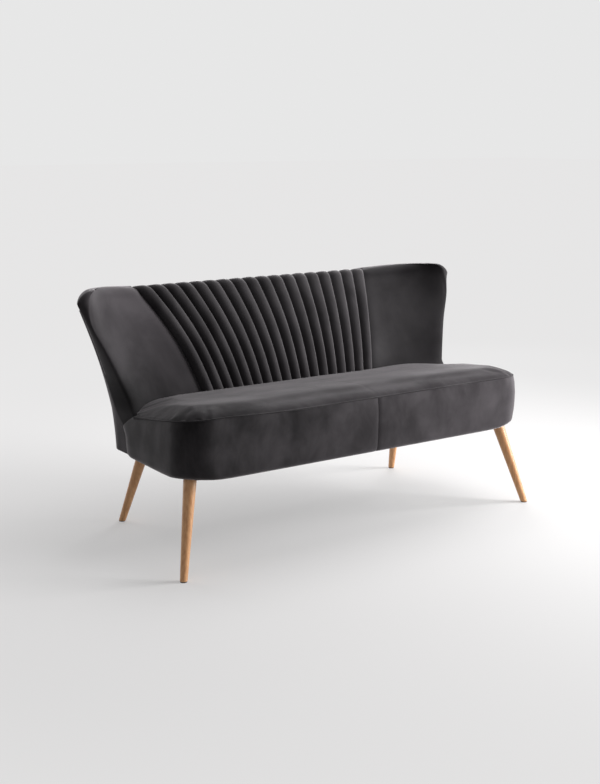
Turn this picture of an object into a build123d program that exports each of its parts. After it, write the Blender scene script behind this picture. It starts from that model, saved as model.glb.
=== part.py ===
# Two-seater cocktail sofa: no arms, a fluted back between two wings, four splayed wooden legs.
# Millimetres. X runs along the sofa, Y from front to back, Z up from the floor.
import math
import os

from build123d import *

# Driving sizes of the whole sofa.
WIDTH = 1430
DEPTH = 704
BACK_HEIGHT = 728
WING_RISE = 24
CLEARANCE = 266
SEAT_WIDTH = 1248
SEAT_SEAM_HEIGHT = 432
SEAT_SLOPE = 0.106
SEAT_CORNER = 92
SEAT_DEPTH = 419

# The fluted panel: how many channels, how far each stands out, and half its width low and high.
FLUTES = 18
FLUTE_BULGE = 8.5
FLUTE_TOP_BULGE = 3.5
FLUTE_HALF_LOW = 327
FLUTE_HALF_TOP = 453
ROLL_RADIUS = 40
TOP_RECLINE = math.radians(40.4)
PANEL_THICK = 14
BACK_FOAM_THICK = 20

# Cloth, boards and the small gap that is left between soft layers.
CLOTH = 2.5
BOARD = 3.0
GAP = 0.3

# Seat frame.
RAIL_THICK = 24
RAIL_HEIGHT = 78
BLOCK_LENGTH = 130
PLATE_THICK = 3
FRAME_INSET = 28

# Legs: where they stand, how they lean, how thick they are.
FOOT_FRONT_X = 645
FOOT_REAR_X = 544
LEG_SPAN = 576
FRONT_SPLAY = (0.25, 0.27)
REAR_SPLAY = (0.18, 0.33)
LEG_TOP_RADIUS = 19
LEG_FOOT_RADIUS = 10.5
GLIDE_THICK = 3
BOLT_RADIUS = 4

# Places that follow from the sizes above.
HALF_SEAT = SEAT_WIDTH / 2
FRONT_Y = 12 - DEPTH / 2
ROLL_Y = DEPTH / 2 - ROLL_RADIUS - FLUTE_TOP_BULGE - 6
ROLL_Z = BACK_HEIGHT - ROLL_RADIUS - FLUTE_TOP_BULGE
BASE_Y = FRONT_Y + SEAT_DEPTH
BASE_Z = SEAT_SEAM_HEIGHT - 24
FRAME_LOW = CLEARANCE + CLOTH
FRAME_TOP = FRAME_LOW + RAIL_HEIGHT
BLOCK_LOW = FRAME_LOW + PLATE_THICK
CAP_RADIUS = 30
CAP_END = math.radians(66)
CAP_Z = ROLL_Z + ROLL_RADIUS - CAP_RADIUS * math.sin(CAP_END)
REAR_LOW_Y = BASE_Y + 103
REAR_TOP_Y = DEPTH / 2 - 3.5
SIDE_SEAM_Y = BASE_Y + 21

made = {}


def line(a, b):
    return Edge.make_line(a, b)


def arc(a, middle, b):
    return Edge.make_three_point_arc(a, middle, b)


def both_sides(name, shape):
    made[name + "_right"] = shape
    made[name + "_left"] = mirror(shape, about=Plane.YZ)


def largest(shape):
    return max(shape.solids(), key=lambda solid: solid.volume)


def block(x0, x1, y0, y1, z0, z1):
    return Pos((x0 + x1) / 2, (y0 + y1) / 2, (z0 + z1) / 2) * Box(x1 - x0, y1 - y0, z1 - z0)


def side_prism(points, x0, x1):
    face = make_face(Polyline(*[(x0, y, z) for y, z in points], close=True))
    return extrude(face, x1 - x0, dir=(1, 0, 0))


# The back's face, seen from the side: one long arc that leans further back as it climbs,
# then a tight roll over the top rail. Both are given by the angle of their normal.
start_y = ROLL_Y - ROLL_RADIUS * math.cos(TOP_RECLINE)
start_z = ROLL_Z + ROLL_RADIUS * math.sin(TOP_RECLINE)
chord = math.hypot(start_y - BASE_Y, start_z - BASE_Z)
chord_angle = math.atan2(start_y - BASE_Y, start_z - BASE_Z)
LOW_RECLINE = 2 * chord_angle - TOP_RECLINE
FACE_RADIUS = chord / (2 * math.sin(TOP_RECLINE - chord_angle))
face_y = start_y + FACE_RADIUS * math.cos(TOP_RECLINE)
face_z = start_z - FACE_RADIUS * math.sin(TOP_RECLINE)
face_length = FACE_RADIUS * (TOP_RECLINE - LOW_RECLINE)
roll_length = ROLL_RADIUS * (math.radians(98) - TOP_RECLINE)


def face_at(angle, depth):
    """Point of the back's face whose normal has this angle, that far behind the seams, and the panel's half width."""
    if angle <= TOP_RECLINE:
        along = FACE_RADIUS * (angle - LOW_RECLINE)
        reach = FACE_RADIUS - depth
        y = face_y - reach * math.cos(angle)
        z = face_z + reach * math.sin(angle)
    else:
        along = face_length + ROLL_RADIUS * (angle - TOP_RECLINE)
        y = ROLL_Y - (ROLL_RADIUS - depth) * math.cos(angle)
        z = ROLL_Z + (ROLL_RADIUS - depth) * math.sin(angle)
    share = along / (face_length + roll_length)
    return y, z, FLUTE_HALF_LOW + (FLUTE_HALF_TOP - FLUTE_HALF_LOW) * share


def face_at_height(z):
    """Depth place and half width of the back's seam surface at a height below the roll."""
    angle = math.asin(max(-0.9, min(0.9, (z - face_z) / FACE_RADIUS)))
    y, _, half = face_at(min(angle, TOP_RECLINE), 0)
    return y, half


# Fluted inside back: one quilted panel whose channels widen to the top and roll over it.
def flute_section(angle):
    y, z, half = face_at(angle, 0)
    back_y, back_z, _ = face_at(angle, PANEL_THICK)
    rolled = min(max((angle - LOW_RECLINE) / (math.radians(90) - LOW_RECLINE), 0), 1)
    bulge = FLUTE_BULGE + (FLUTE_TOP_BULGE - FLUTE_BULGE) * rolled**2
    out_y = -math.cos(angle) * bulge
    out_z = math.sin(angle) * bulge
    half = half - 0.5
    seams = [-half + 2 * half * i / FLUTES for i in range(FLUTES + 1)]
    edges = []
    for x0, x1 in zip(seams, seams[1:]):
        edges.append(arc((x0, y, z), ((x0 + x1) / 2, y + out_y, z + out_z), (x1, y, z)))
    edges.append(line((half, y, z), (half, back_y, back_z)))
    edges.append(line((half, back_y, back_z), (-half, back_y, back_z)))
    edges.append(line((-half, back_y, back_z), (-half, y, z)))
    return Wire(edges)


def face_angle(share):
    return LOW_RECLINE + (TOP_RECLINE - LOW_RECLINE) * share


def angle_along(distance):
    if distance <= face_length:
        return LOW_RECLINE + distance / FACE_RADIUS
    return TOP_RECLINE + (distance - face_length) / ROLL_RADIUS


FACE_STEPS = 8
ROLL_STEPS = 10
face_start = -0.09 * face_length
roll_end = ROLL_RADIUS * (math.radians(150) - TOP_RECLINE)
face_angles = [angle_along(face_start + (face_length - face_start) * i / FACE_STEPS) for i in range(FACE_STEPS + 1)]
roll_angles = [angle_along(face_length + roll_end * (i + 1) / ROLL_STEPS) for i in range(ROLL_STEPS)]
made["fluted_back_panel"] = Solid.make_loft([flute_section(a) for a in face_angles + roll_angles], True)


# Foam slab behind the fluted panel, down to the lower rail and up to the top rail.
def slab_section(angle, near, far, half_less):
    y0, z0, half = face_at(angle, near)
    y1, z1, _ = face_at(angle, far)
    half = half - half_less
    corners = [(-half, y0, z0), (half, y0, z0), (half, y1, z1), (-half, y1, z1)]
    return Wire([line(a, b) for a, b in zip(corners, corners[1:] + corners[:1])])


top_rail_radius = ROLL_RADIUS - PANEL_THICK - 2.5
rail_room = Pos(0, ROLL_Y, ROLL_Z) * Rot(0, 90, 0) * Cylinder(top_rail_radius + GAP, WIDTH)
slab_depth = PANEL_THICK + GAP + BACK_FOAM_THICK
slab = Solid.make_loft([slab_section(a, PANEL_THICK + GAP, slab_depth, 1) for a in face_angles], True)
made["back_foam"] = slab - rail_room
STRAP_THICK = 2
strap_near = slab_depth + GAP
strap_far = strap_near + STRAP_THICK
middle_room = Solid.make_loft(
    [slab_section(a, -FLUTE_BULGE - 6, strap_far + GAP, -GAP) for a in face_angles + roll_angles], True
)

# Wings. At each height the section runs from the fluted panel along the inside face, round the
# nose to the seam of the outside back, and along the outside back to the panel again.
NOSE_LOW_DEPTH = 350
NOSE_TOP_DEPTH = 472
NOSE_LOW = (HALF_SEAT - 36, FRONT_Y + NOSE_LOW_DEPTH)
NOSE_TOP = (WIDTH / 2 - 52, FRONT_Y + NOSE_TOP_DEPTH)
SEAM_LOW_X = HALF_SEAT - 18
SEAM_TOP_X = WIDTH / 2 - 1
WING_LOW_Z = SEAT_SEAM_HEIGHT - 42

# The nose sweeps out to a toe where the wing lands on the seat.
TOE_FLARE = (28, -33)
TOE_FROM = WING_LOW_Z + 35
TOE_DROP = 35
TOE_SLOPE = 0.53


def climb(z):
    return (z - WING_LOW_Z) / (CAP_Z - WING_LOW_Z)


# The outside back's front seam: along the wing's rear edge, then forward beside the seat band.
SEAM_TOP_SET = 46
SIDE_STRAIGHT = 6
SIDE_FORWARD = 50
FORWARD_FROM = WING_LOW_Z + 15
FORWARD_DROP = 87


def outer_seam(z):
    """Place of the outside back's front seam at a height, and how far back its side starts to turn."""
    up = max(climb(z), 0)
    flare = max((z - CLEARANCE) / (CAP_Z - CLEARANCE), 0) ** 1.8
    x = SEAM_LOW_X + (SEAM_TOP_X - SEAM_LOW_X) * flare
    turn_y = SIDE_SEAM_Y + SIDE_STRAIGHT + SEAM_TOP_SET * (1 - (1 - min(up, 1)) ** 2)
    fall = min(max((FORWARD_FROM - z) / FORWARD_DROP, 0), 1)
    forward = SIDE_FORWARD * fall * fall * (3 - 2 * fall)
    return x, turn_y - SIDE_STRAIGHT - forward, turn_y


def rear_curve(z, inset):
    """Outside back at a height: seam point, start of the turn, bend point and end of the straight middle."""
    seam_x, front_y, seam_y = outer_seam(z)
    up = (z - CLEARANCE) / (CAP_Z - CLEARANCE)
    end_x = SEAT_WIDTH * (0.41 - 0.045 * up)
    end_y = REAR_LOW_Y + (REAR_TOP_Y - REAR_LOW_Y) * up
    run = math.hypot(end_x - seam_x, end_y - seam_y)
    out_x = (end_y - seam_y) / run
    out_y = (seam_x - end_x) / run
    bend = (
        (seam_x + end_x) / 2 + out_x * (33 - inset),
        (seam_y + end_y) / 2 + out_y * (33 - inset),
    )
    return (seam_x - inset, front_y), (seam_x - inset, seam_y), bend, (end_x, end_y - inset)


def wing_section(z, inset, cap, spare):
    """One section of the right wing: inset draws in the cloth face, cap is the angle up the rounded
    top, spare lets the section pass the panel side and the outside back."""
    shrink = CAP_RADIUS * (1 - math.cos(cap))
    drop = shrink + inset
    level = z + (CAP_RADIUS - inset) * math.sin(cap)
    y, half = face_at_height(z)
    up = max(climb(z), 0)
    toe = min(max((TOE_FROM - z) / TOE_DROP, 0), 1) ** 1.5
    nose = [low + (top - low) * climb(z) + out * toe for low, top, out in zip(NOSE_LOW, NOSE_TOP, TOE_FLARE)]
    seam, _, bend, end = rear_curve(z, 0)
    if spare:
        _, _, bend, end = rear_curve(z, -8)
    rear_drop = drop - inset
    start = (half + 0.5 - spare, y + drop)
    face_x = nose[0] - half
    face_run = math.hypot(face_x, y - nose[1])
    in_x = (y - nose[1]) / face_run
    in_y = face_x / face_run
    middle = (
        (half + nose[0]) / 2 + in_x * 31 + in_x * drop + 14,
        (y + nose[1]) / 2 + in_y * 31 + in_y * drop,
    )
    tip = (nose[0] - shrink * 1.1 - inset * 0.35, nose[1] + drop * 0.94)
    edge_x = seam[0] - shrink * 1.9 - inset * 0.9
    edge_y = seam[1] + drop * 0.3 - 1
    span = math.hypot(edge_x - tip[0], edge_y - tip[1])
    out = (1 + 15 * up) * (1 - 0.5 * drop / CAP_RADIUS)
    knuckle = (
        (tip[0] + edge_x) / 2 + out * (edge_y - tip[1]) / span,
        (tip[1] + edge_y) / 2 - out * (edge_x - tip[0]) / span,
    )
    back_bend = (bend[0] - rear_drop * 0.62, bend[1] - rear_drop * 0.78)
    back_turn = (end[0], end[1] - rear_drop)
    back_end = (half + 0.5 - spare, end[1] - rear_drop)
    lean = WING_RISE * up / (SEAM_TOP_X - FLUTE_HALF_TOP)

    def at(p):
        return (p[0], p[1], level + lean * (p[0] - half))

    return Wire(
        [
            arc(at(start), at(middle), at(tip)),
            arc(at(tip), at(knuckle), at((edge_x, edge_y))),
            arc(at((edge_x, edge_y)), at(back_bend), at(back_turn)),
            line(at(back_turn), at(back_end)),
            line(at(back_end), at(start)),
        ]
    )


def wing_body(inset, spare):
    low = CLEARANCE + 24
    heights = [low + (CAP_Z - low) * i / 11 for i in range(12)]
    body = Solid.make_loft([wing_section(z, inset, 0, spare) for z in heights])
    cap = Solid.make_loft([wing_section(CAP_Z, inset, CAP_END * i / 4, spare) for i in range(5)])
    return body + cap


# What the wings leave free: the seat frame, the slope on which they meet the seat, the outside back.
toe_rear_z = WING_LOW_Z - 38
toe_rear_y = outer_seam(toe_rear_z)[1] + 1
toe_cut = side_prism(
    [
        (toe_rear_y - DEPTH / 2, toe_rear_z + TOE_SLOPE * DEPTH / 2),
        (toe_rear_y, toe_rear_z),
        (toe_rear_y, 0),
        (toe_rear_y - DEPTH / 2, 0),
    ],
    0,
    WIDTH,
)
FOAM_LOW = FRAME_TOP + 8
frame_cut = block(0, HALF_SEAT - 38, -DEPTH, DEPTH, 100, FOAM_LOW + GAP)


OUTSIDE_TOP = CAP_Z + 4
RING_STEPS = 12


def rear_ring(near, far, lead=0):
    """The outside back between two depths below its face. Its front edges can lead the seam."""
    wires = []
    for step in range(RING_STEPS + 1):
        z = CLEARANCE + (OUTSIDE_TOP + GAP - CLEARANCE) * step / RING_STEPS
        o = [(x, y, z) for x, y in rear_curve(z, near)]
        i = [(x, y, z) for x, y in rear_curve(z, far)]
        o[0] = (o[0][0], o[0][1] - lead, z)
        i[0] = (i[0][0], i[0][1] - lead, z)
        om = [(-x, y, h) for x, y, h in o]
        im = [(-x, y, h) for x, y, h in i]
        wires.append(
            Wire(
                [
                    line(o[0], o[1]),
                    arc(*o[1:]),
                    line(o[3], om[3]),
                    arc(om[3], om[2], om[1]),
                    line(om[1], om[0]),
                    line(om[0], im[0]),
                    line(im[0], im[1]),
                    arc(*im[1:]),
                    line(im[3], i[3]),
                    arc(i[3], i[2], i[1]),
                    line(i[1], i[0]),
                    line(i[0], o[0]),
                ]
            )
        )
    return Solid.make_loft(wires)


over_outside = block(-WIDTH, WIDTH, -DEPTH, DEPTH, OUTSIDE_TOP, OUTSIDE_TOP + BACK_HEIGHT)
made["outside_back_cover"] = rear_ring(0, CLOTH) - over_outside
made["outside_back_liner"] = rear_ring(CLOTH + GAP, CLOTH + GAP + BOARD) - over_outside
rear_room = rear_ring(-12, CLOTH + BOARD + 4 * GAP, GAP)

# Back frame: two inner posts bolted to the seat's rear rail, two wing posts on the rear corner
# blocks, a round top rail, a lower rail and a sloping rail out to each wing post.
rear_rail_y = REAR_LOW_Y - 17
rear_rail_front = rear_rail_y - RAIL_THICK
POST_WIDTH = 30
post_x = FLUTE_HALF_LOW + 53
post_top = ROLL_Z - 6
post_outline = [
    (rear_rail_front - 34, FRAME_LOW + 22),
    (rear_rail_front, FRAME_LOW + 22),
    (rear_rail_front, FRAME_TOP),
    (ROLL_Y + 16, post_top),
    (ROLL_Y - 10, post_top),
    (rear_rail_front - 34, FRAME_TOP),
]
rail_round = Pos(0, ROLL_Y, ROLL_Z) * Rot(0, 90, 0)
top_rail_length = 2 * (post_x + POST_WIDTH + 25)
made["back_top_rail"] = rail_round * Cylinder(top_rail_radius, top_rail_length)
inner_post = side_prism(post_outline, post_x, post_x + POST_WIDTH) - made["back_top_rail"]

lower_front = [face_at(face_angle(s), strap_far + 2 * GAP)[:2] for s in (-0.06, 0.05)]
lower_back = [(y + RAIL_THICK, z) for y, z in reversed(lower_front)]
made["back_lower_rail"] = side_prism(lower_front + lower_back, -post_x, post_x)


def rectangle(x0, x1, y0, y1, z):
    corners = [(x0, y0, z), (x1, y0, z), (x1, y1, z), (x0, y1, z)]
    return Wire([line(a, b) for a, b in zip(corners, corners[1:] + corners[:1])])


def upright(x, y0, y1, z0, z1):
    corners = [(x, y0, z0), (x, y1, z0), (x, y1, z1), (x, y0, z1)]
    return Wire([line(a, b) for a, b in zip(corners, corners[1:] + corners[:1])])


block_x1 = HALF_SEAT - 10 - FRAME_INSET
block_x0 = block_x1 - BLOCK_LENGTH
wing_post_foot = rectangle(block_x1 - 26, block_x1 - 2, SIDE_SEAM_Y - 28, SIDE_SEAM_Y + 12, FRAME_TOP)
wing_post_x = NOSE_TOP[0] - 18
wing_post_y = NOSE_TOP[1] + 19
wing_post_head = rectangle(wing_post_x, wing_post_x + 24, wing_post_y, wing_post_y + 30, CAP_Z - 16)
wing_post = Solid.make_loft([wing_post_foot, wing_post_head], True)
wing_rail = Solid.make_loft(
    [
        upright(post_x + POST_WIDTH + 0.2, ROLL_Y - 14, ROLL_Y + 8, CAP_Z - 66, CAP_Z - 42),
        upright(wing_post_x - 2, wing_post_y + 4, wing_post_y + 26, CAP_Z - 66, CAP_Z - 42),
    ],
    True,
)

# Wing foam and the velvet over it. The post is planed to the outside back, the rail to the velvet.
wing = wing_body(0, 0) - toe_cut - frame_cut - rear_room - middle_room
wing_cover = largest(wing - wing_body(CLOTH, 6))
wing_post = largest(wing_post - rear_room)
wing_rail = largest(wing_rail - wing_post - wing_cover)
wing_foam = wing & wing_body(CLOTH + GAP, 6)
wing_foam = wing_foam - inner_post - wing_post - wing_rail - rail_room - made["back_lower_rail"]
wing_foam = largest(wing_foam - wing_cover)
both_sides("wing_cover", wing_cover)
both_sides("wing_foam", wing_foam)
both_sides("wing_post", wing_post)
both_sides("wing_rail", wing_rail)

# Webbing straps behind the back foam, from the lower rail to the top rail.
strap_angles = [face_angle(-0.06 + 1.06 * i / 9) for i in range(10)]
STRAP_HALF = 30
STRAP_COUNT = 6
strap_front = [face_at(a, strap_near)[:2] for a in strap_angles]
strap_back = [face_at(a, strap_far)[:2] for a in reversed(strap_angles)]
strap = side_prism(strap_front + strap_back, -STRAP_HALF, STRAP_HALF) - rail_room
strap_span = 2 * (FLUTE_HALF_LOW - 20 - STRAP_HALF)
strap_places = [-strap_span / 2 + strap_span * i / (STRAP_COUNT - 1) for i in range(STRAP_COUNT)]
made["back_webbing"] = Compound([Pos(x, 0, 0) * strap.solids()[0] for x in strap_places])

# Seat: flat below, its seam plane falling to the rear, rounded front corners and a soft crown.
SEAT_REAR = SIDE_SEAM_Y + 40
SEAT_TAPER = 8
BAND_SHAPE = [
    (0, -3, 7, 18),
    (0.025, 2, 1.5, 10),
    (0.07, 5, -2, 4),
    (0.35, 8, -4.5, 0),
    (0.65, 8.5, -6, 0),
    (0.87, 6, -4.5, 0),
    (1, 2, -1, 0),
]
CROWN_RISE = 31
CROWN_REACH = 130
CROWN_STEPS = 10


def seat_outline(half, front, rear, z, slope, inset, rounder=0):
    x = half - inset
    f = front + inset
    r = rear - inset
    b = x - SEAT_TAPER
    c = max(SEAT_CORNER + rounder - inset, 20)
    k = 15
    q = c * (1 - math.sqrt(0.5))
    j = k * (1 - math.sqrt(0.5))

    def at(px, py):
        return (px, py, z - slope * (py - FRONT_Y))

    return Wire(
        [
            line(at(c - x, f), at(x - c, f)),
            arc(at(x - c, f), at(x - q, f + q), at(x, f + c)),
            line(at(x, f + c), at(b, r - k)),
            arc(at(b, r - k), at(b - j, r - j), at(b - k, r)),
            line(at(b - k, r), at(k - b, r)),
            arc(at(k - b, r), at(j - b, r - j), at(-b, r - k)),
            line(at(-b, r - k), at(-x, f + c)),
            arc(at(-x, f + c), at(q - x, f + q), at(c - x, f)),
        ]
    )


def seat_band_body(inset, low, high):
    wires = []
    for share, wider, back, rounder in BAND_SHAPE:
        z = low + (high - low) * share
        place = (z - CLEARANCE) / (SEAT_SEAM_HEIGHT - CLEARANCE)
        slope = SEAT_SLOPE * place
        wires.append(seat_outline(HALF_SEAT + wider, FRONT_Y + back, SEAT_REAR, z, slope, inset, rounder))
    return Solid.make_loft(wires, True)


def seat_crown_body(inset, first):
    wires = []
    for i in range(CROWN_STEPS + 1):
        along = i / CROWN_STEPS
        rise = CROWN_RISE * (1 - (1 - along) ** 2.2)
        draw = CROWN_REACH * along**1.8 + 2 * (1 - along) ** 6
        z = SEAT_SEAM_HEIGHT + (first if i == 0 else rise - inset)
        wires.append(seat_outline(HALF_SEAT, FRONT_Y, SEAT_REAR, z, SEAT_SLOPE, draw + inset))
    return Solid.make_loft(wires, True)


# What the seat leaves free for the back: the fluted panel, both wings and the outside back.
tangent_y = math.sin(LOW_RECLINE)
tangent_z = math.cos(LOW_RECLINE)
crest_y = BASE_Y - (FLUTE_BULGE + 1) * math.cos(LOW_RECLINE)
crest_z = BASE_Z + (FLUTE_BULGE + 1) * math.sin(LOW_RECLINE)
panel_room = side_prism(
    [
        (crest_y - 220 * tangent_y, crest_z - 220 * tangent_z),
        (crest_y + 150 * tangent_y, crest_z + 150 * tangent_z),
        (DEPTH, crest_z + 150 * tangent_z),
        (DEPTH, crest_z - 220 * tangent_z),
    ],
    -FLUTE_HALF_LOW - 6,
    FLUTE_HALF_LOW + 6,
)
wing_room = wing_body(-2 * GAP, 0) - Pos(0, 0, -2 * GAP) * toe_cut
wing_room_left = mirror(wing_room, about=Plane.YZ)
seam_heights = [FORWARD_FROM - FORWARD_DROP * i / 8 for i in range(9)]
seam_line = [(outer_seam(z)[1] - 1.5, z) for z in seam_heights]
seam_line = [(SIDE_SEAM_Y - 1.5, BACK_HEIGHT)] + seam_line + [(seam_line[-1][0], 0)]
behind = side_prism(seam_line + [(DEPTH, 0), (DEPTH, BACK_HEIGHT)], -WIDTH, WIDTH)

toe_reach = 130
toe_room = side_prism(
    [
        (toe_rear_y - toe_reach, toe_rear_z + TOE_SLOPE * toe_reach - 2 * GAP),
        (toe_rear_y, toe_rear_z - 2 * GAP),
        (toe_rear_y, BACK_HEIGHT),
        (toe_rear_y - toe_reach, BACK_HEIGHT),
    ],
    HALF_SEAT - 14,
    WIDTH,
)
toe_room_left = mirror(toe_room, about=Plane.YZ)


def clear_of_back(shape):
    return shape - panel_room - wing_room - wing_room_left - toe_room - toe_room_left - behind


frame_front = FRONT_Y + 12 + FRAME_INSET

# Seat top cover: the crowned velvet panel. Seat band: its two halves meet at the front's middle.
crown_skin = seat_crown_body(0, 0) - seat_crown_body(CLOTH, -3)
made["seat_top_cover"] = largest(clear_of_back(crown_skin))
band = seat_band_body(0, CLEARANCE, SEAT_SEAM_HEIGHT - GAP)
band = band - seat_band_body(CLOTH, CLEARANCE + CLOTH, SEAT_SEAM_HEIGHT + 4)
under_opening = extrude(
    make_face(seat_outline(HALF_SEAT - 10, FRONT_Y + 12, SEAT_REAR, CLEARANCE - 5, 0, 32)), 9
)
band = clear_of_back(band - under_opening)

# Seat foam over the springs, and the wadding between the frame and the band.
inner_low = CLEARANCE + CLOTH
inner_high = SEAT_SEAM_HEIGHT + 4
stuffing = seat_band_body(CLOTH + GAP, inner_low, inner_high)
foam = seat_crown_body(CLOTH + GAP, -0.5 * (SEAT_SEAM_HEIGHT - CLEARANCE))
foam = foam - block(-WIDTH, WIDTH, -DEPTH, DEPTH, 0, FOAM_LOW)
made["seat_foam"] = largest(clear_of_back(foam))
frame_fill = block(-block_x1 - GAP, block_x1 + GAP, frame_front - GAP, DEPTH, 0, FOAM_LOW)
above = block(-WIDTH, WIDTH, -DEPTH, DEPTH, FOAM_LOW - GAP, BACK_HEIGHT)
wadding = clear_of_back(stuffing - frame_fill - above - block(-WIDTH, WIDTH, -DEPTH, DEPTH, 0, FRAME_LOW + GAP))

# Legs: turned, tapered wood, leaning out to the corners. Their tops meet steel plates under the
# corner blocks, and a hanger bolt runs up each leg into its block.
FOOT_Y = FRONT_Y
FOOT_REAR_Y = FOOT_Y + LEG_SPAN
LEGS = {
    "front_right": (FOOT_FRONT_X, FOOT_Y, -FRONT_SPLAY[0], FRONT_SPLAY[1], -1, 1),
    "rear_right": (FOOT_REAR_X, FOOT_REAR_Y, -REAR_SPLAY[0], -REAR_SPLAY[1], 1, -1),
}
SCREW_SPOTS = [(46, -4), (46, 32), (5, 44), (28, 46)]
low_part = (Align.CENTER, Align.CENTER, Align.MIN)


def corner_block(front, low, high, inset):
    x0 = block_x0 + inset
    x1 = block_x1 - inset
    r = 55 - inset
    q = r * (1 - math.sqrt(0.5))
    if front:
        y0 = frame_front + inset
        y1 = y0 + 110 - 2 * inset
        turn = -1
    else:
        y0 = rear_rail_y - inset
        y1 = y0 - 95 + 2 * inset
        turn = 1
    edges = [
        line((x0, y0, low), (x1 - r, y0, low)),
        arc((x1 - r, y0, low), (x1 - q, y0 - turn * q, low), (x1, y0 - turn * r, low)),
        line((x1, y0 - turn * r, low), (x1, y1, low)),
        line((x1, y1, low), (x0, y1, low)),
        line((x0, y1, low), (x0, y0, low)),
    ]
    return extrude(make_face(Wire(edges)), high - low, dir=(0, 0, 1))


bolts = []
screws = []
leg_holes = []
frame_blocks = {}
for name, (foot_x, foot_y, dx, dy, in_x, in_y) in LEGS.items():
    lean = Plane(origin=(foot_x, foot_y, 0), x_dir=(1, 0, -dx), z_dir=(dx, dy, 1))
    stretch = math.sqrt(1 + dx * dx + dy * dy)
    length = FRAME_LOW * stretch
    grow = (LEG_TOP_RADIUS - LEG_FOOT_RADIUS) / length
    low_radius = LEG_FOOT_RADIUS - 20 * grow
    high_radius = LEG_TOP_RADIUS + 20 * grow
    shaft = lean * (Pos(0, 0, -20) * Cone(low_radius, high_radius, length + 40, align=low_part))
    keep = block(-WIDTH, WIDTH, -DEPTH, DEPTH, GLIDE_THICK, FRAME_LOW)
    bolt = lean * (Pos(0, 0, length - 38) * Cylinder(BOLT_RADIUS, 76, align=low_part))
    bolt_hole = lean * (Pos(0, 0, length - 39) * Cylinder(BOLT_RADIUS + 0.2, 78, align=low_part))
    pin = lean * Cylinder(1.5, 16, align=low_part)
    pin_hole = lean * (Pos(0, 0, -5) * Cylinder(1.7, 22, align=low_part))
    leg = (shaft & keep) - bolt_hole - pin_hole
    both_sides("leg_" + name[:-6], leg)
    pad = lean * (Pos(0, 0, -20) * Cylinder(LEG_FOOT_RADIUS - 1, 40, align=low_part))
    glide = (pad & block(-WIDTH, WIDTH, -DEPTH, DEPTH, 0, GLIDE_THICK)) + pin
    glide = glide & block(-WIDTH, WIDTH, -DEPTH, DEPTH, 0, FRAME_LOW)
    both_sides("glide_" + name[:-6], glide)
    top_x = foot_x + dx * FRAME_LOW
    top_y = foot_y + dy * FRAME_LOW
    leg_holes.append(lean * (Pos(0, 0, length - 30) * Cylinder(LEG_TOP_RADIUS + 2.5, 60, align=low_part)))
    xs = sorted((top_x - in_x * 6, top_x + in_x * 58))
    ys = sorted((top_y - in_y * 10, top_y + in_y * 58))
    front = name.startswith("front")
    plate = corner_block(front, FRAME_LOW, BLOCK_LOW, 1)
    plate = (plate & block(*xs, *ys, 0, BACK_HEIGHT)) - bolt_hole
    wood = corner_block(front, BLOCK_LOW, FRAME_TOP, 0) - bolt_hole
    for off_x, off_y in SCREW_SPOTS:
        spot = Pos(top_x + in_x * off_x, top_y + in_y * off_y, FRAME_LOW)
        head = Cone(4, 2, PLATE_THICK, align=low_part)
        screw = spot * (head + Pos(0, 0, PLATE_THICK) * Cylinder(2, 22, align=low_part))
        room = Cone(4.2, 2.2, PLATE_THICK, align=low_part)
        room = spot * (room + Pos(0, 0, PLATE_THICK) * Cylinder(2.2, 23, align=low_part))
        screws.append(screw)
        plate = plate - room
        wood = wood - room
    bolts.append(bolt)
    both_sides("leg_plate_" + name[:-6], plate)
    frame_blocks[name[:-6]] = wood


def all_four(shapes):
    solids = [s.solids()[0] for s in shapes]
    return Compound(solids + [mirror(s, about=Plane.YZ) for s in solids])


made["leg_hanger_bolts"] = all_four(bolts)
made["leg_plate_screws"] = all_four(screws)
leg_holes += [mirror(h, about=Plane.YZ) for h in leg_holes]

# Seat frame: four corner blocks with rails between them and one rail under the middle.
both_sides("corner_block_front", frame_blocks["front"])
both_sides("corner_block_rear", frame_blocks["rear"])
both_sides(
    "side_rail",
    block(block_x1 - RAIL_THICK, block_x1, frame_front + 110, rear_rail_y - 95, FRAME_LOW, FRAME_TOP),
)
made["front_rail"] = block(-block_x0, block_x0, frame_front, frame_front + RAIL_THICK, FRAME_LOW, FRAME_TOP)
rear_rail = block(-block_x0, block_x0, rear_rail_front, rear_rail_y, FRAME_LOW, FRAME_TOP)
made["middle_rail"] = block(-15, 15, frame_front + RAIL_THICK, rear_rail_front, FRAME_LOW, FRAME_TOP - 28)

# Bolts that hold the back posts to the rear rail, two for each post.
back_bolts = []
for z in (FRAME_LOW + 38, FRAME_LOW + 62):
    turned = Pos(post_x + POST_WIDTH / 2, rear_rail_front - 34 - 5, z) * Rot(-90, 0, 0)
    head = Cylinder(7, 5, align=low_part)
    shank = Pos(0, 0, 5) * Cylinder(BOLT_RADIUS, 34 + RAIL_THICK, align=low_part)
    back_bolts.append(turned * (head + shank))
    hole = turned * (Pos(0, 0, 5) * Cylinder(BOLT_RADIUS + 0.2, 34 + RAIL_THICK + 1, align=low_part))
    inner_post = inner_post - hole
    rear_rail = rear_rail - hole - mirror(hole, about=Plane.YZ)
made["rear_rail"] = rear_rail
both_sides("back_post", inner_post)
made["back_post_bolts"] = all_four(back_bolts)

# Zigzag springs from front rail to rear rail, the clips at their ends and the woven cover above.
SPRING_COUNT = 8
SPRING_WIRE = 4
SPRING_BARS = 12
SPRING_HALF = 24
spring_front = frame_front + 14
spring_rear = rear_rail_y - 14
spring_line = []
for i in range(SPRING_BARS + 1):
    y = spring_front + (spring_rear - spring_front) * i / SPRING_BARS
    side = SPRING_HALF if i % 2 else -SPRING_HALF
    spring_line += [(side, y), (-side, y)]


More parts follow.
